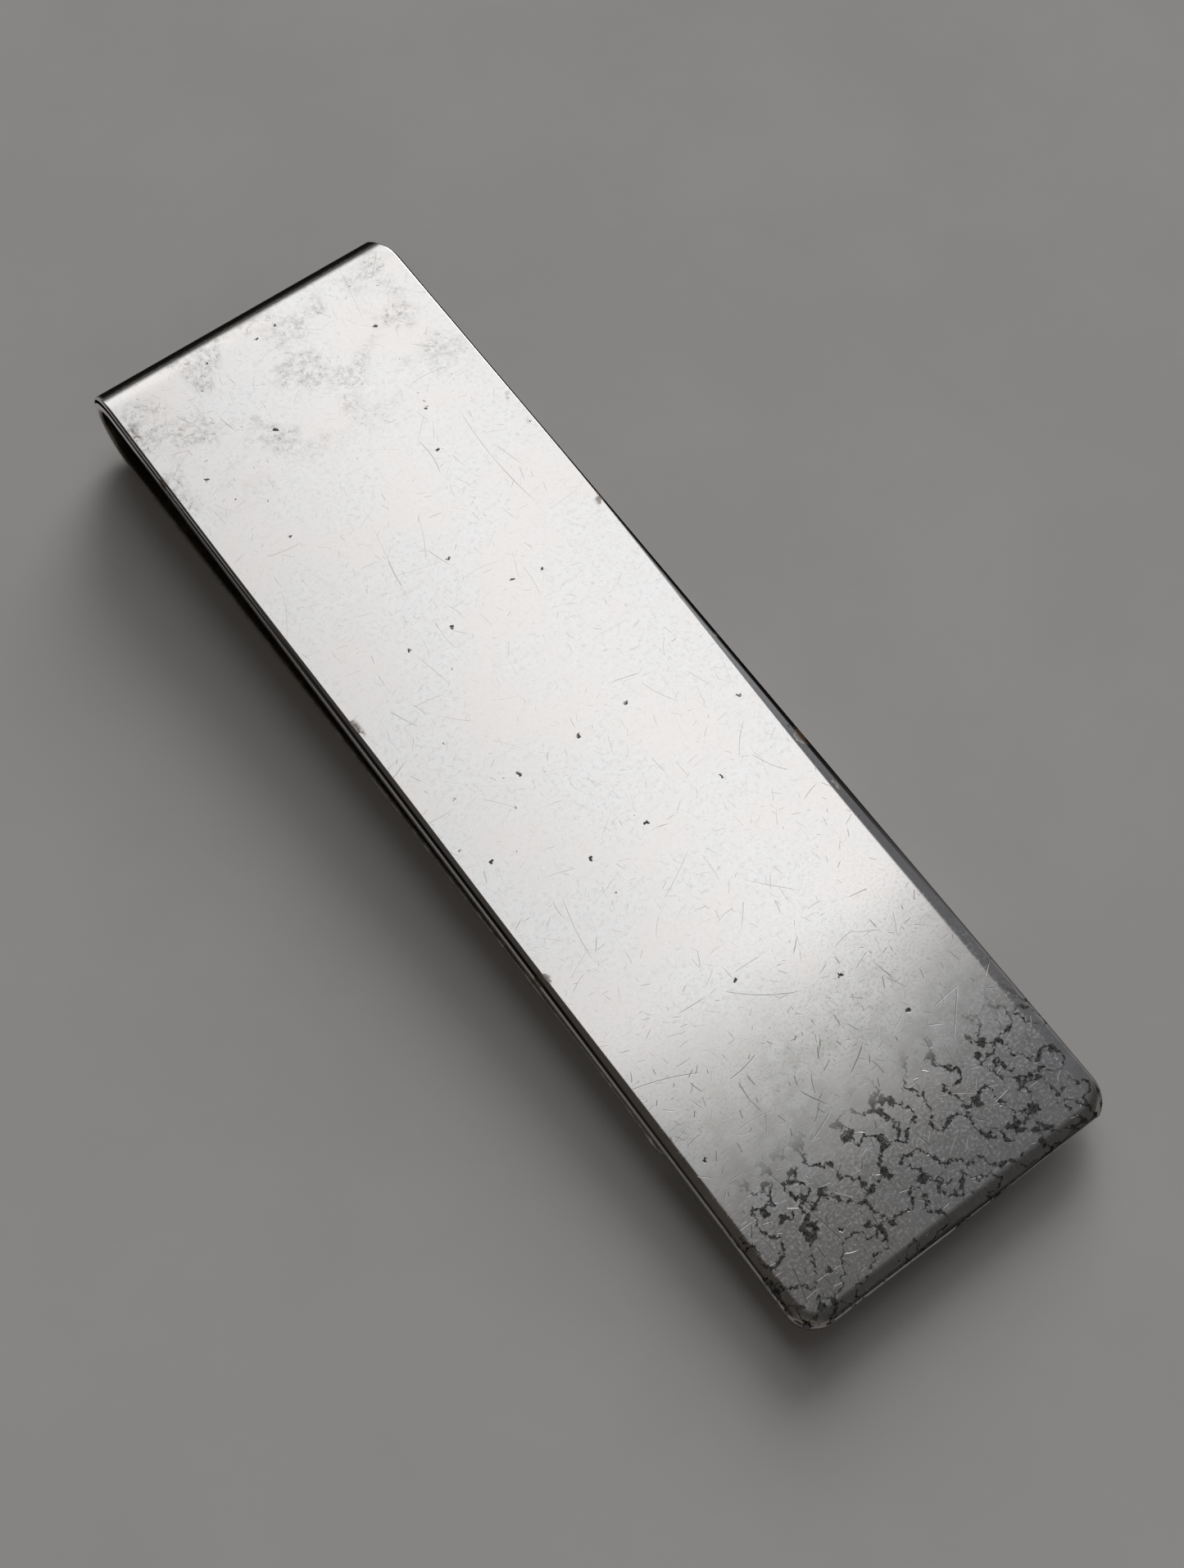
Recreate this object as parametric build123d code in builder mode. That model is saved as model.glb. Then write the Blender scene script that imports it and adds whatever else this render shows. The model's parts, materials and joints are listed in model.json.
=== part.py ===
"""Folded silver money clip: one strip of sheet, bent double over a round fold.

The broad front leaf is bent back at the fold into a springy tongue, which rises
until it bears on the leaf's underside and then flares away as a lead-in lip.
The strip is cut into four nodes where its job changes: leaf, fold, blade and lip.

The clip stands as it rests on a table, on the fold and on the lip's edge.
Row frame, in millimetres: +Z up, X across the strip, fold towards +Y, free end
towards -Y, origin at the centre of the bounding box's bottom face.
"""

import os
from math import asin, atan2, cos, degrees, hypot, radians, sin

from build123d import *

# Overall
clip_length = 64.0  # from the back of the fold to the leaf's free end
clip_width = 19.0
fold_radius = 2.9  # outside of the fold, so the clip is twice this deep there
leaf_thickness = 1.05
spring_thickness = 0.85  # the fold and the tongue are thinner than the leaf
leaf_taper = 8.0  # length over which the leaf thins down to the fold

# Tongue
crest_reach = 45.2  # from the fold's centre to where the tongue meets the leaf
crest_radius = 14.0  # inside of the bend at the crest
jaw_gap = 0.10  # clearance left at the crest
lip_angle = 18.0  # degrees that the lip flares away from the leaf
lip_run = 1.4  # straight length of the lip beyond the crest's bend

# Softened edges
corner_radius = 1.6
outer_edge_radius = 0.35
inner_edge_radius = 0.15

# Heights above the fold's centre, and reaches from it, along the leaf
half_width = clip_width / 2
leaf_reach = clip_length - fold_radius
leaf_underside = fold_radius - leaf_thickness
inner_fold_radius = fold_radius - spring_thickness
crest_drop = crest_radius - (leaf_underside - jaw_gap)

# Rise of the tongue: a line touching both the fold's inside and the crest's bend
tongue_rise = asin((inner_fold_radius + crest_radius) / hypot(crest_reach, crest_drop))
tongue_rise -= atan2(crest_drop, crest_reach)
blade_length = crest_reach * cos(tongue_rise) - crest_drop * sin(tongue_rise)
fold_turn = 180 + degrees(tongue_rise)
crest_turn = lip_angle + degrees(tongue_rise)

# Centre of the rounding under the lip's tip, and the tilt that lets it touch down
lip_slope = radians(lip_angle)
tip_bend = crest_radius - spring_thickness + outer_edge_radius
tip_run = lip_run - outer_edge_radius
tip_out = crest_reach + tip_bend * sin(lip_slope) + tip_run * cos(lip_slope)
tip_up = tip_bend * cos(lip_slope) - tip_run * sin(lip_slope) - crest_drop
rest_tilt = asin((fold_radius - outer_edge_radius) / hypot(tip_out, tip_up))
rest_tilt += atan2(tip_up, tip_out)

# Fold's centre in the row frame: it touches the table, and the box is centred on Y
rim_out = leaf_reach - outer_edge_radius
rim_up = fold_radius - outer_edge_radius
free_end_reach = rim_out * cos(rest_tilt) + rim_up * sin(rest_tilt) + outer_edge_radius
fold_y = (free_end_reach - fold_radius) / 2
fold_z = fold_radius


def side_plane(slope):
    """Side view at the fold's centre: x towards the free end, down the slope, y upwards."""
    return Plane(
        origin=(0, fold_y, fold_z),
        x_dir=(0, -cos(slope), -sin(slope)),
        z_dir=(-1, 0, 0),
    )


leaf_plane = side_plane(rest_tilt)
tongue_plane = side_plane(rest_tilt - tongue_rise)
lip_plane = side_plane(rest_tilt + lip_slope)
leaf_normal = Axis((0, 0, 0), leaf_plane.y_dir)
tongue_normal = Axis((0, 0, 0), tongue_plane.y_dir)
lip_normal = Axis((0, 0, 0), lip_plane.y_dir)


def side_rims(*faces):
    """Edges of the faces that run along the strip, not across it."""
    edges = ShapeList(edge for face in faces for edge in face.edges())
    return edges.filter_by(Axis.X, reverse=True)


def end_rims(*faces):
    """The same, with the edge across the strip that lies nearest the free end."""
    edges = ShapeList(edge for face in faces for edge in face.edges())
    return side_rims(*faces) + edges.filter_by(Axis.X).sort_by(Axis.Y)[:1]


# Front leaf: the broad face of the clip, thinned on its inside near the fold
with BuildPart() as front_leaf:
    with BuildSketch(leaf_plane):
        with BuildLine():
            Polyline(
                (0, fold_radius),
                (leaf_reach, fold_radius),
                (leaf_reach, leaf_underside),
                (leaf_taper, leaf_underside),
                (0, inner_fold_radius),
                close=True,
            )
        make_face()
    extrude(amount=half_width, both=True)
    fillet(front_leaf.edges().filter_by(leaf_normal).sort_by(Axis.Y)[:2], corner_radius)
    fillet(end_rims(front_leaf.faces().sort_by(leaf_normal)[-1]), outer_edge_radius)
    fillet(end_rims(*front_leaf.faces().sort_by(leaf_normal)[:2]), inner_edge_radius)

front_leaf.part.label = "front_leaf"

# Fold: half a turn of spring sheet, from the leaf to the foot of the tongue
with BuildPart() as fold_spring:
    with BuildSketch(leaf_plane):
        with BuildLine():
            outside = CenterArc((0, 0), fold_radius, 90, fold_turn)
            inside = CenterArc((0, 0), inner_fold_radius, 90, fold_turn)
            Line(outside @ 0, inside @ 0)
            Line(outside @ 1, inside @ 1)
        make_face()
    extrude(amount=half_width, both=True)
    fold_edges = fold_spring.edges().filter_by(GeomType.CIRCLE).group_by(SortBy.RADIUS)
    fillet(fold_edges[-1], outer_edge_radius)
    fillet(fold_edges[0], inner_edge_radius)

fold_spring.part.label = "fold_spring"

# Blade: the straight run of the tongue, rising from the fold to the crest
with BuildPart() as tongue_blade:
    with BuildSketch(tongue_plane):
        with Locations((0, -fold_radius)):
            Rectangle(blade_length, spring_thickness, align=(Align.MIN, Align.MIN))
    extrude(amount=half_width, both=True)
    fillet(side_rims(tongue_blade.faces().sort_by(tongue_normal)[0]), outer_edge_radius)
    fillet(side_rims(tongue_blade.faces().sort_by(tongue_normal)[-1]), inner_edge_radius)

tongue_blade.part.label = "tongue_blade"

# Lip: the crest that grips, and the short flare that leads the notes in
with BuildPart() as tongue_lip:
    with BuildSketch(tongue_plane):
        with BuildLine():
            crest_start = (blade_length, -inner_fold_radius)
            belly_start = (blade_length, -fold_radius)
            belly_radius = crest_radius - spring_thickness
            crest = JernArc(crest_start, (1, 0), crest_radius, -crest_turn)
            belly = JernArc(belly_start, (1, 0), belly_radius, -crest_turn)
            flare_top = Line(crest @ 1, crest @ 1 + lip_run * (crest % 1))
            flare_under = Line(belly @ 1, belly @ 1 + lip_run * (belly % 1))
            Line(crest @ 0, belly @ 0)
            Line(flare_top @ 1, flare_under @ 1)
        make_face()
    extrude(amount=half_width, both=True)
    fillet(tongue_lip.edges().filter_by(lip_normal), corner_radius)
    bends = tongue_lip.faces().filter_by(GeomType.CYLINDER).sort_by(SortBy.AREA)
    flares = tongue_lip.faces().filter_by(lip_normal).sort_by(Axis.Z)
    fillet(end_rims(flares[0], bends[-2]), outer_edge_radius)
    bends = tongue_lip.faces().filter_by(GeomType.CYLINDER).sort_by(SortBy.AREA)
    flares = tongue_lip.faces().filter_by(lip_normal).sort_by(Axis.Z)
    fillet(end_rims(flares[-1], bends[-1]), inner_edge_radius)

tongue_lip.part.label = "tongue_lip"

os.makedirs("parts", exist_ok=True)
export_step(front_leaf.part, "parts/front_leaf.step")
export_step(fold_spring.part, "parts/fold_spring.step")
export_step(tongue_blade.part, "parts/tongue_blade.step")
export_step(tongue_lip.part, "parts/tongue_lip.step")
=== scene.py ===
"""Blender scene of the folded silver money clip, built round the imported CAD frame.

The strip is made the way the real one is: a flat blank with softened rims, which is
then bent along one path. Blank coordinates are in millimetres: `along` runs from the
leaf's free end, over the outer face, round the fold and out to the lip; `across` is
the row frame's X; `depth` goes from the outer face into the sheet.
"""

import json
import math

import bmesh
import bpy
import numpy as np
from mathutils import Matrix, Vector, noise


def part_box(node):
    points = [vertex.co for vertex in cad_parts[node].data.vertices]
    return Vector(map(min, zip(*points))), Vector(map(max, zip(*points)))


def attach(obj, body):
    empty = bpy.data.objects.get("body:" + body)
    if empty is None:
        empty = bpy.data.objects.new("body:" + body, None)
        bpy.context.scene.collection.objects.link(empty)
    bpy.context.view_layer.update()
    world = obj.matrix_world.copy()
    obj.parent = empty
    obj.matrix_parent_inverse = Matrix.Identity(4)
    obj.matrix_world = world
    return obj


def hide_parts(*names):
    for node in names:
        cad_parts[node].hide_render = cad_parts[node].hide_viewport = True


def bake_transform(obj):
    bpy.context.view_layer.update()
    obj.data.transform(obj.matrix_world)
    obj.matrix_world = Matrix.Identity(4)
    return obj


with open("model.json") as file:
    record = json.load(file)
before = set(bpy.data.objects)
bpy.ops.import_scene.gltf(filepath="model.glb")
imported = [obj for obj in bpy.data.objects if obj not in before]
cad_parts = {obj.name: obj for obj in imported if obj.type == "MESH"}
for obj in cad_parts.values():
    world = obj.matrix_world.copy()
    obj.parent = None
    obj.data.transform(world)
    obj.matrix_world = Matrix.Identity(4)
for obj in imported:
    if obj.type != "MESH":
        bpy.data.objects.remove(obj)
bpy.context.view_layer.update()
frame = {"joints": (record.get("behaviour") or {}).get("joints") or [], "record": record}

MM = 0.001

# ---------------------------------------------------------------- the strip's sizes
joint = frame["joints"][0]
mounts = {mount["name"]: mount for mount in frame["record"]["mounts"]}
fold_low, fold_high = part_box("fold_spring")
fold_centre = Vector(joint["pos_m"]) / MM
leaf_normal = Vector(mounts["front_face"]["axis"]).normalized()
leaf_outward = Vector((0.0, -leaf_normal.z, leaf_normal.y))  # fold towards free end

strip_width = (fold_high.x - fold_low.x) / MM
fold_radius = (fold_high.z - fold_low.z) / MM / 2
clip_length = 64.0
leaf_thickness = 1.05
spring_thickness = 0.85
leaf_taper = 8.0
crest_reach = 45.2
crest_radius = 14.0
jaw_gap = 0.10
lip_angle = math.radians(18.0)
lip_run = 1.4
corner_radius = 1.6
leaf_bow = 0.03  # the leaf's slight arch at mid length

leaf_reach = clip_length - fold_radius
inner_fold_radius = fold_radius - spring_thickness
crest_drop = crest_radius - (fold_radius - leaf_thickness - jaw_gap)
tongue_rise = math.asin((inner_fold_radius + crest_radius) / math.hypot(crest_reach, crest_drop))
tongue_rise -= math.atan2(crest_drop, crest_reach)
blade_length = crest_reach * math.cos(tongue_rise) - crest_drop * math.sin(tongue_rise)

# Spans of the outer face: length and the turn made over it
belly_radius = crest_radius - spring_thickness
spans = [
    (leaf_reach, 0.0),
    (fold_radius * (math.pi + tongue_rise), math.pi + tongue_rise),
    (blade_length, 0.0),
    (belly_radius * (tongue_rise + lip_angle), -tongue_rise - lip_angle),
    (lip_run, 0.0),
]
span_ends = np.cumsum([0.0] + [length for length, turn in spans])
headings = math.pi + np.cumsum([0.0] + [turn for length, turn in spans])
fold_start, fold_end, blade_end, crest_end, lip_end = span_ends[1:]
seam = fold_end + 4.0  # where the two visual pieces meet, on the straight blade

PATH_STEP = 0.01
path_along = np.arange(0.0, lip_end + 1.0, PATH_STEP)
path_heading = np.interp(path_along, span_ends, headings)
path_out = np.cumsum(np.cos(path_heading) * PATH_STEP)
path_up = np.cumsum(np.sin(path_heading) * PATH_STEP)
path_out += leaf_reach - path_out[0]
path_up += fold_radius - path_up[0]


def smoothstep(low, high, value):
    t = np.clip((np.asarray(value) - low) / (high - low), 0.0, 1.0)
    return t * t * (3 - 2 * t)


def sheet_thickness(along):
    """Leaf gauge, thinning to spring gauge as the strip nears the fold."""
    near_fold = np.clip((along - fold_start + leaf_taper) / leaf_taper, 0.0, 1.0)
    return leaf_thickness + (spring_thickness - leaf_thickness) * near_fold


def shoulder(along, across):
    """Width of the rounding where the outer face meets its rim, most worn at the free end."""
    end = float(smoothstep(5.0, corner_radius, along))
    left = 0.20 + 0.18 * float(smoothstep(54.0, 30.0, along)) + 0.20 * float(smoothstep(26.0, 6.0, along))
    right = 0.22 + 0.60 * float(smoothstep(46.0, 18.0, along))
    share = float(smoothstep(-strip_width / 2, strip_width / 2, across))
    return left + (right - left) * share + 0.14 * end


def half_width(along, side):
    """Half the strip's width; the fold's right corner is worn back a little."""
    worn = smoothstep(fold_start - 0.3, fold_start + 2.6, along)
    worn *= smoothstep(fold_end - 1.0, fold_start + 4.5, along)
    return strip_width / 2 - 0.42 * float(worn) * (side > 0)


def waviness(along, across):
    """Shallow unevenness of hand-worn sheet, in millimetres."""
    broad = noise.noise(Vector((across / 11.0, along / 17.0, 3.1)))
    small = noise.noise(Vector((across / 3.7, along / 4.3, 8.6)))
    return 0.008 * broad + 0.001 * small


def to_row_frame(along, across, depth):
    """Bends blank coordinates, in millimetres, into the row frame, in metres."""
    heading = np.interp(along, path_along, path_heading)
    out = np.interp(along, path_along, path_out)
    up = np.interp(along, path_along, path_up)
    bow = leaf_bow * np.sin(math.pi * np.clip(along / fold_start, 0.0, 1.0)) ** 2
    ripple = np.array([waviness(a, c) for a, c in zip(along, across)])
    lift = bow + ripple * smoothstep(fold_start, fold_start - 6.0, along) - depth
    out = out + np.sin(heading) * lift
    up = up - np.cos(heading) * lift
    points = np.outer(out, leaf_outward) + np.outer(up, leaf_normal)
    points[:, 0] += across
    return (points + np.array(fold_centre)) * MM


# ------------------------------------------------------------------ the strip's mesh
RIM_STEPS = 11
COLUMNS = 40
RIM_DROP = 0.38  # depth of the outer rounding
UNDER_RADIUS = 0.15
BORDER = 0.05  # width of the last face column, which keeps the flat face flat up to its rim


def rim_profile(along, across):
    """(outward offset, depth) round the rim, from the outer face to the inner one."""
    width = shoulder(along, across)
    under = UNDER_RADIUS
    thickness = float(sheet_thickness(along))
    # nearly round at the worn free end, closer to a bevel elsewhere
    power = 1.0 + 0.35 * float(smoothstep(8.0, 24.0, along))
    over = [
        (width * math.sin(t) ** power, RIM_DROP * (1 - max(math.cos(t), 0.0) ** power))
        for t in np.linspace(0.0, math.pi / 2, RIM_STEPS)
    ]
    below = [
        (width - under + under * math.sin(t), thickness - under * (1 - math.cos(t)))
        for t in np.linspace(math.pi / 2, 0.0, RIM_STEPS)
    ]
    return over + below


def side_rows(start, end, round_start, round_end, step):
    """(along, left border, right border, side normal) of each row inside the rims."""
    rows = []
    arc = np.linspace(0.0, math.pi / 2, 13)
    plain_start = start + corner_radius if round_start else start
    plain_end = end - corner_radius if round_end else end
    inner_half = strip_width / 2 - corner_radius

    def corner_row(centre, reach, t):
        """A row whose ends lie on the two corner arcs, at angle t from the strip's end."""
        borders = []
        for side in (-1, 1):
            inset = corner_radius - shoulder(centre, side * strip_width / 2)
            borders.append(side * (inner_half + inset * math.sin(t)))
        inset = corner_radius - shoulder(centre, 0.0)
        along = centre + reach * inset * math.cos(t)
        rows.append((along, borders[0], borders[1], (reach * math.cos(t), math.sin(t))))

    if round_start:
        for t in arc[:-1]:
            corner_row(plain_start, -1, t)
    count = max(2, round((plain_end - plain_start) / step))
    for along in np.linspace(plain_start, plain_end, count + 1):
        left = half_width(along, -1) - shoulder(along, -strip_width / 2)
        right = half_width(along, 1) - shoulder(along, strip_width / 2)
        rows.append((along, -left, right, (0.0, 1.0)))
    if round_end:
        for t in arc[-2::-1]:
            corner_row(plain_end, 1, t)
    return rows


def merge_spans(*groups):
    """Joins row lists that meet end to end, keeping one row where they meet."""
    rows = list(groups[0])
    for group in groups[1:]:
        rows += group[1:]
    return rows


def strip_mesh(name, rows, round_start, round_end):
    """A closed strip of sheet from its face's rows, bent into the row frame."""
    blank = []

    def vertex(along, across, depth):
        blank.append((across, along, depth))
        return len(blank) - 1

    def rim(along, across, normal):
        """Vertices down the rim, outward from one point on the face's border."""
        column = []
        for offset, depth in rim_profile(along, across):
            column.append(vertex(along + normal[0] * offset, across + normal[1] * offset, depth))
        return column

    left, right, top, bottom, ends = [], [], [], [], {}
    last = len(rows) - 1
    for index, (along, low, high, normal) in enumerate(rows):
        left.append(rim(along, low, (normal[0], -normal[1])))
        right.append(rim(along, high, normal))
        places = np.linspace(low + BORDER, high - BORDER, COLUMNS - 1)
        if (index == 0 and round_start) or (index == last and round_end):
            columns = [rim(along, across, (normal[0], 0.0)) for across in places]
            ends[index] = [left[-1]] + columns + [right[-1]]
            top.append([column[0] for column in ends[index]])
            bottom.append([column[-1] for column in ends[index]])
            continue
        # the inner face reaches further out than the outer one, by the rims' difference
        inner = [blank[column[-1]][0] for column in (left[-1], right[-1])]
        spread = (inner[1] - inner[0]) / (high - low)
        thickness = float(sheet_thickness(along))
        upper = [vertex(along, across, 0.0) for across in places]
        lower = [vertex(along, inner[0] + (across - low) * spread, thickness) for across in places]
        top.append([left[-1][0]] + upper + [right[-1][0]])
        bottom.append([left[-1][-1]] + lower + [right[-1][-1]])

    faces = []

    def skin(one, other):
        for a, b, c, d in zip(one[:-1], one[1:], other[1:], other[:-1]):
            faces.append((a, b, c, d))

    for index in range(last):
        for edge in (left, right, top, bottom):
            skin(edge[index], edge[index + 1])
    for columns in ends.values():
        for one, other in zip(columns[:-1], columns[1:]):
            skin(one, other)
    for index in {0, last} - set(ends):
        loop = top[index] + right[index][1:] + bottom[index][-2::-1] + left[index][-2:0:-1]
        faces.append(tuple(loop))

    across, along, depth = np.array(blank).T
    mesh = bpy.data.meshes.new(name)
    mesh.from_pydata(to_row_frame(along, across, depth).tolist(), [], faces)
    stored = mesh.attributes.new("blank", "FLOAT_VECTOR", "POINT")
    stored.data.foreach_set("vector", np.array(blank, np.float32).ravel())
    work = bmesh.new()
    work.from_mesh(mesh)
    bmesh.ops.recalc_face_normals(work, faces=work.faces)
    for face in work.faces:
        face.smooth = len(face.verts) == 4
    for edge in work.edges:
        edge.smooth = all(face.smooth for face in edge.link_faces)
    work.to_mesh(mesh)
    work.free()
    piece = bpy.data.objects.new(name, mesh)
    bpy.context.scene.collection.objects.link(piece)
    return piece


folded_leaf = strip_mesh(
    "folded_leaf",
    merge_spans(
        side_rows(0.0, fold_start - 1.0, True, False, 0.4),
        side_rows(fold_start - 1.0, fold_end + 1.0, False, False, 0.2),
        side_rows(fold_end + 1.0, seam, False, False, 0.5),
    ),
    round_start=True,
    round_end=False,
)
sprung_tongue = strip_mesh(
    "sprung_tongue",
    merge_spans(
        side_rows(seam, blade_end - 1.0, False, False, 0.5),
        side_rows(blade_end - 1.0, lip_end, False, True, 0.25),
    ),
    round_start=False,
    round_end=True,
)


# --------------------------------------------------------------------- node building
class Graph:
    """Short calls for building the nodes of a material or a world."""

    def __init__(self, tree):
        self.tree = tree

    def node(self, kind, values=(), **settings):
        made = self.tree.nodes.new(kind)
        for key, value in settings.items():
            setattr(made, key, value)
        for key, value in dict(values).items():
            self.feed(made.inputs[key], value)
        return made

    def feed(self, socket, value):
        if isinstance(value, bpy.types.NodeSocket):
            self.tree.links.new(value, socket)
        else:
            socket.default_value = value

    def math(self, operation, *values):
        pairs = enumerate(values)
        return self.node("ShaderNodeMath", pairs, operation=operation).outputs[0]

    def vector(self, operation, *values):
        made = self.node("ShaderNodeVectorMath", enumerate(values), operation=operation)
        scalar = operation in ("DISTANCE", "LENGTH", "DOT_PRODUCT")
        return made.outputs["Value" if scalar else "Vector"]

    def scaled(self, vector, factor):
        values = {0: vector, "Scale": factor}
        return self.node("ShaderNodeVectorMath", values, operation="SCALE").outputs["Vector"]

    def parts(self, vector):
        return self.node("ShaderNodeSeparateXYZ", {"Vector": vector}).outputs

    def ramp(self, value, low, high, to_low=0.0, to_high=1.0):
        """Smooth step of value from low to high."""
        values = {"Value": value, "From Min": low, "From Max": high}
        values.update({"To Min": to_low, "To Max": to_high})
        made = self.node("ShaderNodeMapRange", values, interpolation_type="SMOOTHSTEP")
        return made.outputs["Result"]

    def noise(self, vector, scale, detail=2.0, roughness=0.5):
        values = {"Vector": vector, "Scale": scale, "Detail": detail, "Roughness": roughness}
        return self.node("ShaderNodeTexNoise", values).outputs["Fac"]

    def cells(self, vector, scale, **settings):
        """A Voronoi pattern's outputs, and three random numbers for each of its cells."""
        values = {"Vector": vector, "Scale": scale, "Randomness": 1.0}
        outputs = self.node("ShaderNodeTexVoronoi", values, **settings).outputs
        chance = self.node("ShaderNodeSeparateColor", {"Color": outputs["Color"]}).outputs
        return outputs, chance

    def mix(self, factor, one, other):
        """Colour mix from one to other."""
        made = self.node("ShaderNodeMix", data_type="RGBA")
        colour_a, colour_b = [socket for socket in made.inputs if socket.type == "RGBA"]
        self.feed(made.inputs["Factor"], factor)
        self.feed(colour_a, one)
        self.feed(colour_b, other)
        return [socket for socket in made.outputs if socket.type == "RGBA"][0]

    def greatest(self, values):
        result = values[0]
        for value in values[1:]:
            result = self.math("MAXIMUM", result, value)
        return result

    def product(self, *values):
        result = values[0]
        for value in values[1:]:
            result = self.math("MULTIPLY", result, value)
        return result


def new_material(name):
    material = bpy.data.materials.new(name)
    material.use_nodes = True
    return material, Graph(material.node_tree), material.node_tree.nodes["Principled BSDF"]


# ------------------------------------------------------------------ marks on the silver
# Scratches, from long and sparse to short and crowded: cell, half width, presence, shift
SCRATCH_LAYERS = [
    (8.0, 0.034, 0.5, (0.0, 0.0, 0.0)),
    (4.3, 0.030, 0.65, (31.0, 7.0, 5.0)),
    (2.3, 0.028, 0.75, (11.0, 57.0, 9.0)),
    (1.2, 0.021, 0.85, (71.0, 23.0, 2.0)),
    (0.7, 0.019, 0.65, (13.0, 91.0, 4.0)),
]

SCRATCH_GREY = (0.42, 0.39, 0.37, 1)
# colour of the rims' painted dark reflection line
RIM_REFLECTION_DARK = (0.028, 0.025, 0.024, 1)
FILM_GREY = (0.42, 0.41, 0.39, 1)
TARNISH_BLACK = (0.022, 0.021, 0.022, 1)
THICK_BROWN = (0.05, 0.038, 0.027, 1)
THIN_BROWN = (0.38, 0.325, 0.26, 1)
# colour of the fold belly's tarnish and painted dark reflection
BELLY_TARNISH_AND_REFLECTION = (0.035, 0.028, 0.021, 1)
DEPOSIT_BROWN = (0.13, 0.085, 0.055, 1)
# grazing reflection darkened where the belly and rims are painted dark
DARKENED_GRAZING = (0.05, 0.045, 0.04, 1)


class Surface:
    """The blank's coordinates, and the patterns that several of the marks share."""

    def __init__(self, graph):
        self.place = graph.node("ShaderNodeAttribute", attribute_name="blank").outputs["Vector"]
        self.across, self.along, self.depth = graph.parts(self.place)
        self.off_centre = graph.math("ABSOLUTE", self.across)
        self.outer = graph.ramp(self.depth, 0.7, 0.45)
        self.worn_end = graph.ramp(self.along, 16.0, 10.0)
        self.grain = graph.noise(self.place, 6.5, 4.0, 0.65)
        self.mottle = graph.noise(self.place, 1.3, 5.0, 0.65)
        self.clouds = graph.noise(self.place, 1.1, 6.0, 0.7)

        # polishing streaks run across the strip
        stretched = graph.vector("MULTIPLY", self.place, (0.8, 5.0, 5.0))
        self.streaks = graph.noise(stretched, 1.0, 4.0, 0.6)

        # outlines wander, because the place that a mark is read at is shaken
        warp = graph.node("ShaderNodeTexNoise", {"Vector": self.place, "Scale": 4.5, "Detail": 3.0})
        self.shake = graph.vector("SUBTRACT", warp.outputs["Color"], (0.5, 0.5, 0.5))
        on_face = graph.vector("MULTIPLY", self.place, (1.0, 1.0, 4.0))
        wander = graph.vector("MULTIPLY", self.shake, (0.55, 0.55, 0.0))
        self.warped = graph.vector("ADD", on_face, wander)


def scratch_layer(graph, place, cell, width, presence, shift):
    """One bent scratch in each cell of a Voronoi pattern, at a random angle and strength."""
    shifted = graph.vector("ADD", place, shift)
    cells, chance = graph.cells(shifted, 1.0 / cell)
    x, y, _ = graph.parts(graph.vector("SUBTRACT", shifted, cells["Position"]))
    turn = graph.math("MULTIPLY", chance[0], math.tau)
    cosine, sine = graph.math("COSINE", turn), graph.math("SINE", turn)
    lengthways = graph.math("ADD", graph.product(x, cosine), graph.product(y, sine))
    sideways = graph.math("SUBTRACT", graph.product(y, cosine), graph.product(x, sine))
    bend = graph.math("MULTIPLY_ADD", chance[1], 0.5 / cell, -0.25 / cell)
    curve = graph.product(lengthways, lengthways, bend)
    sideways = graph.math("ABSOLUTE", graph.math("SUBTRACT", sideways, curve))
    line = graph.ramp(sideways, width, width * 0.25)
    reach = graph.math("MULTIPLY_ADD", chance[1], cell * 0.5, cell * 0.08)
    ends = graph.math("SUBTRACT", reach, graph.math("ABSOLUTE", lengthways))
    taper = graph.ramp(ends, 0.0, cell * 0.2)
    # most scratches are faint and few are deep
    depth = graph.math("SUBTRACT", 1.0, graph.math("DIVIDE", chance[2], presence))
    depth = graph.math("POWER", graph.math("MAXIMUM", depth, 0.0), 1.4)
    return graph.product(line, taper, depth)


def all_scratches(graph, surface):
    """Every layer of scratches, gathered in clusters."""
    spread = graph.vector("MULTIPLY", surface.place, (1.0, 1.0, 9.0))
    layers = [scratch_layer(graph, spread, *layer) for layer in SCRATCH_LAYERS]
    crowd = graph.ramp(graph.noise(surface.place, 0.16, 3.0, 0.6), 0.34, 0.56, 0.45, 1.0)
    return graph.product(graph.greatest(layers), crowd)


def black_specks(graph, surface):
    """Specks of tarnish, crowded towards the fold and the strip's left side."""
    dots, chance = graph.cells(surface.warped, 2.2)
    zone = graph.product(
        graph.ramp(surface.along, 44.0, 58.0, 0.08, 1.0),
        graph.ramp(surface.across, 4.0, -4.0, 0.25, 1.0),
    )
    specks = graph.product(
        graph.ramp(dots["Distance"], 0.15, 0.07),
        graph.math("LESS_THAN", chance[0], graph.math("MULTIPLY", zone, 0.2)),
    )
    return graph.math("MULTIPLY", specks, 0.7)


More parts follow.
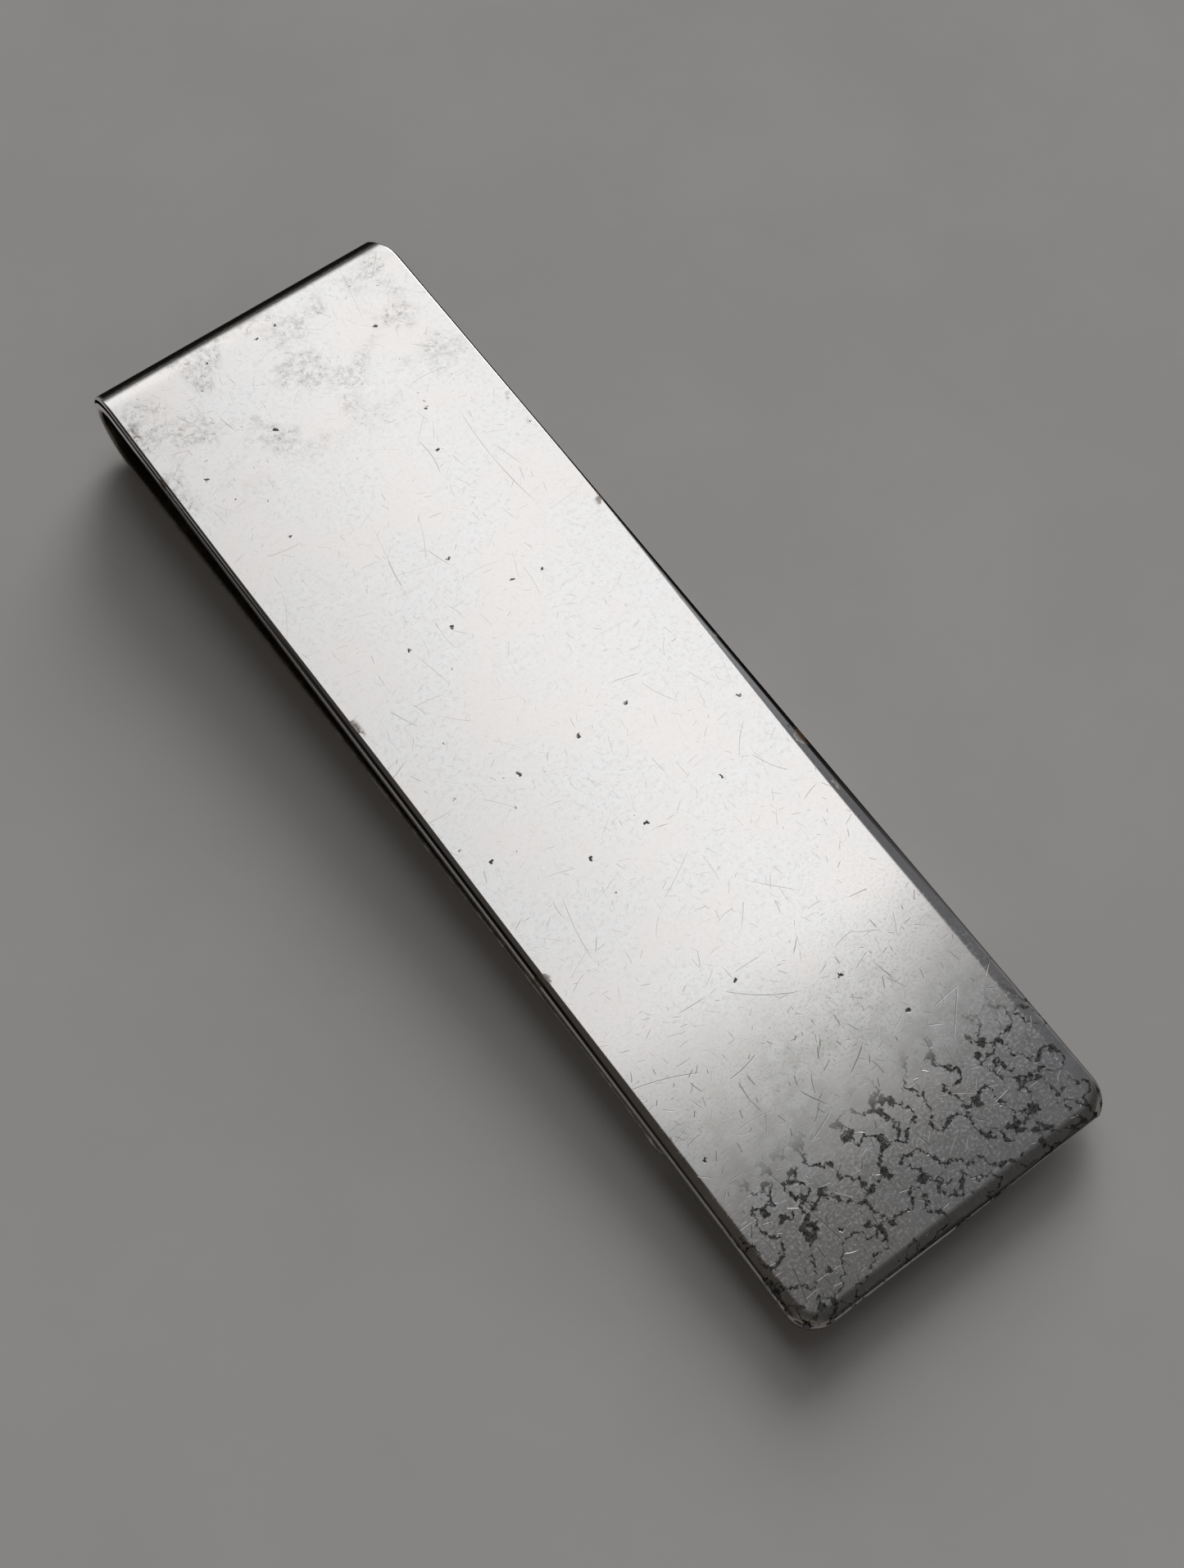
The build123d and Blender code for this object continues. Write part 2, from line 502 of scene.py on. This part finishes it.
def leaf_marks(graph, surface):
    """The leaf's own marks: pits, black veins by the free end, film by the fold, rim deposits."""
    place = surface.place
    cells, chance = graph.cells(surface.warped, 0.33, voronoi_dimensions="2D")
    pits = graph.product(
        graph.ramp(cells["Distance"], 0.045, 0.022),
        graph.math("LESS_THAN", chance[1], 0.22),
    )

    # veins follow the noise's middle contour, and crumbs break them up
    veins = graph.math("SUBTRACT", graph.noise(surface.warped, 0.5, 2.0, 0.5), 0.5)
    crumbs = graph.ramp(graph.noise(place, 2.6, 4.0, 0.65), 0.42, 0.57, -0.5, 0.75)
    veins = graph.math("MULTIPLY_ADD", graph.math("ABSOLUTE", veins), 60.0, crumbs)
    veins = graph.product(graph.ramp(veins, 1.5, 0.8), graph.ramp(surface.along, 8.5, 6.0))

    stain = graph.product(
        graph.ramp(graph.noise(place, 0.3, 2.0, 0.5), 0.45, 0.6),
        graph.ramp(surface.along, 51.0, 55.0),
    )
    film = graph.product(stain, graph.ramp(graph.noise(place, 2.1, 7.0, 0.8), 0.42, 0.60))
    flecks = graph.ramp(graph.noise(place, 3.4, 3.0, 0.6), 0.585, 0.64)

    shaken = graph.vector("ADD", place, graph.vector("MULTIPLY", surface.shake, (0.9, 0.9, 0.0)))
    deposits = graph.ramp(graph.noise(shaken, 0.3, 3.0, 0.6), 0.60, 0.66)
    deposits = graph.product(deposits, graph.ramp(surface.off_centre, 8.7, 9.1))

    black = graph.greatest([
        graph.product(veins, graph.ramp(surface.grain, 0.35, 0.55, 1.0, 0.85)),
        graph.math("MULTIPLY", pits, 0.9),
        graph.product(stain, flecks, 0.3),
    ])
    return {"pits": pits, "film": film, "deposits": deposits, "black": black}


def belly_tarnish_and_reflection(graph, surface):
    """How far tarnish, where nothing rubs it off, and a painted dark reflection cover the fold's belly.
    """
    ragged = graph.noise(surface.place, 3.0, 4.0, 0.7)
    ragged = graph.math("MULTIPLY_ADD", ragged, 0.5, surface.along)
    return graph.product(
        graph.ramp(ragged, fold_start + 1.3, fold_start + 1.95),
        graph.ramp(surface.along, fold_end + 6.0, fold_end - 2.0),
        graph.ramp(surface.along, fold_end - 3.0, fold_end, 1.0, 0.7),
        graph.ramp(surface.off_centre, strip_width / 2 - 0.1, strip_width / 2 - 0.4),
    )


def inner_tarnish(graph, surface):
    """How far tarnish covers the strip's inner face."""
    least = graph.ramp(surface.along, fold_end - 6.0, blade_end, 0.75, 0.3)
    cover = graph.ramp(surface.clouds, 0.36, 0.6, least, 1.0)
    return graph.product(graph.ramp(surface.depth, 0.5, 0.8), cover)


def painted_rim_reflection(graph, surface):
    """A painted dark reflection line down the rims, between two depths that differ on the right side."""
    right_side = graph.math("GREATER_THAN", surface.across, 0.0)
    top_shift = graph.ramp(surface.along, 28.0, 46.0, 0.02, -0.078)
    top = graph.math("MULTIPLY_ADD", right_side, top_shift, 0.08)
    rise_shift = graph.ramp(surface.along, 28.0, 46.0, 0.0, -0.038)
    rise = graph.math("MULTIPLY_ADD", right_side, rise_shift, 0.05)
    foot = graph.math("MULTIPLY_ADD", right_side, 0.10, 0.24)
    return graph.product(
        graph.ramp(surface.depth, top, graph.math("ADD", top, rise)),
        graph.ramp(surface.depth, graph.math("ADD", foot, 0.06), foot),
        graph.ramp(surface.along, 2.0, 24.0, 0.5, 1.0),
    )


def clean_silver(graph, surface):
    """The bare metal's colour: mottled, rubbed, warmer in places, and dull at the free end."""
    place = surface.place
    tone = graph.ramp(surface.mottle, 0.3, 0.7)
    colour = graph.mix(tone, (0.92, 0.91, 0.905, 1), (0.95, 0.945, 0.945, 1))
    rubbed = graph.ramp(graph.noise(place, 3.6, 7.0, 0.8), 0.50, 0.38, 0.0, 0.9)
    colour = graph.mix(rubbed, colour, (0.80, 0.785, 0.78, 1))
    patina = graph.ramp(graph.noise(place, 0.9, 6.0, 0.75), 0.42, 0.58, 0.0, 0.7)
    colour = graph.mix(graph.product(patina, surface.worn_end), colour, (0.74, 0.735, 0.70, 1))
    warm = graph.ramp(graph.noise(place, 0.2, 3.0, 0.5), 0.42, 0.58)
    return graph.mix(graph.math("MULTIPLY", warm, 0.6), colour, (0.95, 0.915, 0.89, 1))


def silver(name, marked):
    """Worn, tarnished silver sheet; marked adds the marks that only the leaf has."""
    material, graph, shader = new_material(name)
    surface = Surface(graph)
    scratches = all_scratches(graph, surface)
    # the fold's belly is part tarnish, part painted dark reflection
    belly = belly_tarnish_and_reflection(graph, surface)
    # tarnish here also carries the belly's painted dark reflection
    tarnish = graph.math("MAXIMUM", inner_tarnish(graph, surface), belly)
    # a dark line painted down the rims, standing in for a dark reflection
    arris = painted_rim_reflection(graph, surface)
    black = black_specks(graph, surface)
    if marked:
        marks = leaf_marks(graph, surface)
        black = graph.math("MAXIMUM", black, marks["black"])
    black = graph.product(black, surface.outer)

    brown = graph.mix(graph.ramp(surface.clouds, 0.38, 0.70), THICK_BROWN, THIN_BROWN)
    # the belly's brown is tarnish and painted dark reflection together
    brown = graph.mix(belly, brown, BELLY_TARNISH_AND_REFLECTION)
    colour = clean_silver(graph, surface)
    colour = graph.mix(graph.math("MULTIPLY", scratches, 0.75), colour, SCRATCH_GREY)
    # the rims' painted dark reflection line
    colour = graph.mix(graph.math("MULTIPLY", arris, 0.96), colour, RIM_REFLECTION_DARK)
    if marked:
        colour = graph.mix(graph.math("MULTIPLY", marks["film"], 0.4), colour, FILM_GREY)
    colour = graph.mix(graph.math("MULTIPLY", tarnish, 0.96), colour, brown)
    if marked:
        colour = graph.mix(graph.math("MULTIPLY", marks["deposits"], 0.8), colour, DEPOSIT_BROWN)
    colour = graph.mix(black, colour, TARNISH_BLACK)
    graph.feed(shader.inputs["Base Color"], colour)
    # grazing reflection is darkened where the belly and rims are painted dark
    tarnish_and_painted_reflection = graph.math("MAXIMUM", belly, arris)
    grazing = graph.mix(tarnish_and_painted_reflection, (1, 1, 1, 1), DARKENED_GRAZING)
    graph.feed(shader.inputs["Specular Tint"], grazing)
    shader.inputs["Metallic"].default_value = 1.0

    polished = graph.ramp(surface.grain, 0.42, 0.62, 0.045, 0.11)
    frosted = graph.product(surface.worn_end, graph.ramp(surface.grain, 0.50, 0.64, 0.0, 0.10))
    dull = graph.product(graph.ramp(surface.streaks, 0.35, 0.7, 0.0, 0.04), surface.worn_end)
    roughness = [
        graph.math("ADD", graph.math("ADD", polished, frosted), dull),
        graph.math("MULTIPLY", scratches, 0.25),
        graph.math("MULTIPLY", tarnish, 0.36),
        graph.math("MULTIPLY", black, 0.5),
    ]
    if marked:
        roughness.append(graph.math("MULTIPLY", marks["film"], 0.22))
        roughness.append(graph.math("MULTIPLY", marks["deposits"], 0.6))
    graph.feed(shader.inputs["Roughness"], graph.greatest(roughness))

    # heights in millimetres; wear is deepest at the free end
    relief = graph.math("MULTIPLY_ADD", surface.worn_end, -0.0045, -0.0008)
    height = graph.math("MULTIPLY", scratches, relief)
    if marked:
        pit_depth = graph.math("MULTIPLY_ADD", surface.worn_end, -0.008, -0.002)
        height = graph.math("MULTIPLY_ADD", marks["pits"], pit_depth, height)
    worn_streaks = graph.product(surface.streaks, surface.worn_end)
    height = graph.math("MULTIPLY_ADD", surface.grain, 0.0003, height)
    height = graph.math("MULTIPLY_ADD", worn_streaks, 0.0003, height)
    height = graph.math("MULTIPLY_ADD", surface.mottle, 0.0005, height)
    bump = graph.node("ShaderNodeBump", {"Height": height, "Strength": 1.0, "Distance": MM})
    graph.feed(shader.inputs["Normal"], bump.outputs["Normal"])
    return material


folded_leaf.data.materials.append(silver("worn_silver", marked=True))
sprung_tongue.data.materials.append(silver("tarnished_silver", marked=False))

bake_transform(folded_leaf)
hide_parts("front_leaf", "fold_spring")
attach(sprung_tongue, "tongue")
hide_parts("tongue_blade", "tongue_lip")


# ------------------------------------------------------------- floor, light and camera
def make_floor():
    """A plain painted surface with a faint unevenness of tone."""
    material, graph, shader = new_material("floor_paint")
    place = graph.node("ShaderNodeTexCoord").outputs["Object"]
    tone = graph.ramp(graph.noise(place, 60.0, 5.0, 0.6), 0.3, 0.7)
    paint = graph.mix(tone, (0.73, 0.72, 0.72, 1), (0.77, 0.765, 0.765, 1))
    graph.feed(shader.inputs["Base Color"], paint)
    shader.inputs["Roughness"].default_value = 0.85
    shader.inputs["Specular IOR Level"].default_value = 0.2
    mesh = bpy.data.meshes.new("floor")
    half = 4.0
    corners = [(-half, -half, 0), (half, -half, 0), (half, half, 0), (-half, half, 0)]
    mesh.from_pydata(corners, [], [(0, 1, 2, 3)])
    mesh.materials.append(material)
    floor = bpy.data.objects.new("floor", mesh)
    bpy.context.scene.collection.objects.link(floor)


# The window's grey by its angle from overhead towards +Y, in degrees: it is dim before
# its first edge, at 7 degrees, and past its last one, at 70
WINDOW_GREYS = [(-9.0, 0.05), (0.0, 0.15), (7.0, 0.90), (70.0, 0.90), (85.0, 0.10)]
WINDOW_START, WINDOW_SPAN = -10.0, 100.0
# Directions from the clip
SIDE_PANELS = [(0.74, -0.63, 0.23), (-0.23, -0.94, 0.25), (-0.85, -0.47, 0.24)]
FILL_PANEL = (-0.55, -0.60, 0.58)
LAMP = (0.670, 0.625, 0.400)
LAMP_COLOUR = (1.0, 0.985, 0.965)
LAMP_STRENGTH = 4.6


def make_world():
    """Soft window light from behind and to the right, in a dim room."""
    world = bpy.data.worlds.new("studio")
    bpy.context.scene.world = world
    world.use_nodes = True
    graph = Graph(world.node_tree)
    direction = graph.node("ShaderNodeTexCoord").outputs["Generated"]
    x, y, z = graph.parts(direction)

    # the window leans a little, so its bands cross the leaf at a slant
    leaning = graph.math("MULTIPLY_ADD", x, 0.09, graph.math("MULTIPLY_ADD", z, -0.025, y))
    sweep = graph.math("DEGREES", graph.math("ARCTAN2", leaning, z))
    share = graph.math("MULTIPLY_ADD", sweep, 1.0 / WINDOW_SPAN, -WINDOW_START / WINDOW_SPAN)
    tones = graph.node("ShaderNodeValToRGB", {"Fac": share})
    stops = tones.color_ramp.elements
    while len(stops) < len(WINDOW_GREYS):
        stops.new(0.5)
    for stop, (angle, grey) in zip(stops, WINDOW_GREYS):
        stop.position = (angle - WINDOW_START) / WINDOW_SPAN
        stop.color = (grey, grey, grey, 1.0)

    # the window's left edge, and its right edge, which recedes towards the horizon
    left_edge = graph.ramp(graph.math("MULTIPLY_ADD", z, -0.10, x), -0.015, 0.02)
    slant = graph.math("MULTIPLY_ADD", y, 1.2, graph.math("MULTIPLY", z, 0.6))
    right_edge = graph.ramp(graph.math("SUBTRACT", slant, x), 0.16, 0.38)
    left_room = graph.mix(graph.ramp(z, 0.1, 0.5), (0.012, 0.011, 0.010, 1), (0.040, 0.036, 0.032, 1))
    right_room = graph.mix(graph.ramp(y, 0.16, 0.31), (0.115, 0.118, 0.125, 1), (0.26, 0.27, 0.28, 1))
    right_low = graph.mix(graph.ramp(y, 0.28, 0.14), (0.045, 0.045, 0.045, 1), (0.36, 0.35, 0.35, 1))
    right_room = graph.mix(graph.ramp(z, 0.38, 0.14), right_room, right_low)
    room = graph.mix(graph.ramp(x, 0.0, 0.3), left_room, right_room)
    back_room = graph.mix(graph.ramp(z, 0.1, 0.5), (0.008, 0.0075, 0.007, 1), (0.042, 0.040, 0.038, 1))
    room = graph.mix(graph.ramp(y, 0.02, -0.25), room, back_room)
    fill = graph.vector("DOT_PRODUCT", direction, FILL_PANEL)
    room = graph.mix(graph.ramp(fill, 0.80, 0.97), room, (0.09, 0.08, 0.07, 1))
    # low soft panels that the clip reflects when it is seen from its other sides
    for panel in SIDE_PANELS:
        near_panel = graph.ramp(graph.vector("DOT_PRODUCT", direction, panel), 0.90, 0.98)
        room = graph.mix(near_panel, room, (0.20, 0.19, 0.18, 1))
    left_dimming = graph.ramp(graph.math("DIVIDE", x, z), 0.12, 0.32, 0.76, 1.0)
    panes = graph.scaled(tones.outputs["Color"], left_dimming)
    colour = graph.mix(graph.product(left_edge, right_edge), room, panes)

    lamp = graph.vector("DOT_PRODUCT", direction, LAMP)
    lamp = graph.ramp(lamp, 0.940, 0.985, 0.0, LAMP_STRENGTH)
    colour = graph.vector("ADD", colour, graph.vector("MULTIPLY", LAMP_COLOUR, lamp))
    background = world.node_tree.nodes["Background"]
    graph.feed(background.inputs["Color"], colour)


CAMERA_PLACE = (-25.49, -38.01, 94.05)  # millimetres
CAMERA_TURN = (24.908, 0.44, -36.586)  # degrees
CAMERA_LENS = 44.77


def make_camera():
    """A phone's view from close above the free end."""
    data = bpy.data.cameras.new("camera")
    data.sensor_width = 36.0
    data.lens = CAMERA_LENS
    data.clip_start = 0.005
    camera = bpy.data.objects.new("camera", data)
    camera.location = Vector(CAMERA_PLACE) * MM
    camera.rotation_euler = [math.radians(angle) for angle in CAMERA_TURN]
    bpy.context.scene.collection.objects.link(camera)
    bpy.context.scene.camera = camera


make_floor()
make_world()
make_camera()
bpy.context.scene.view_settings.view_transform = "Standard"
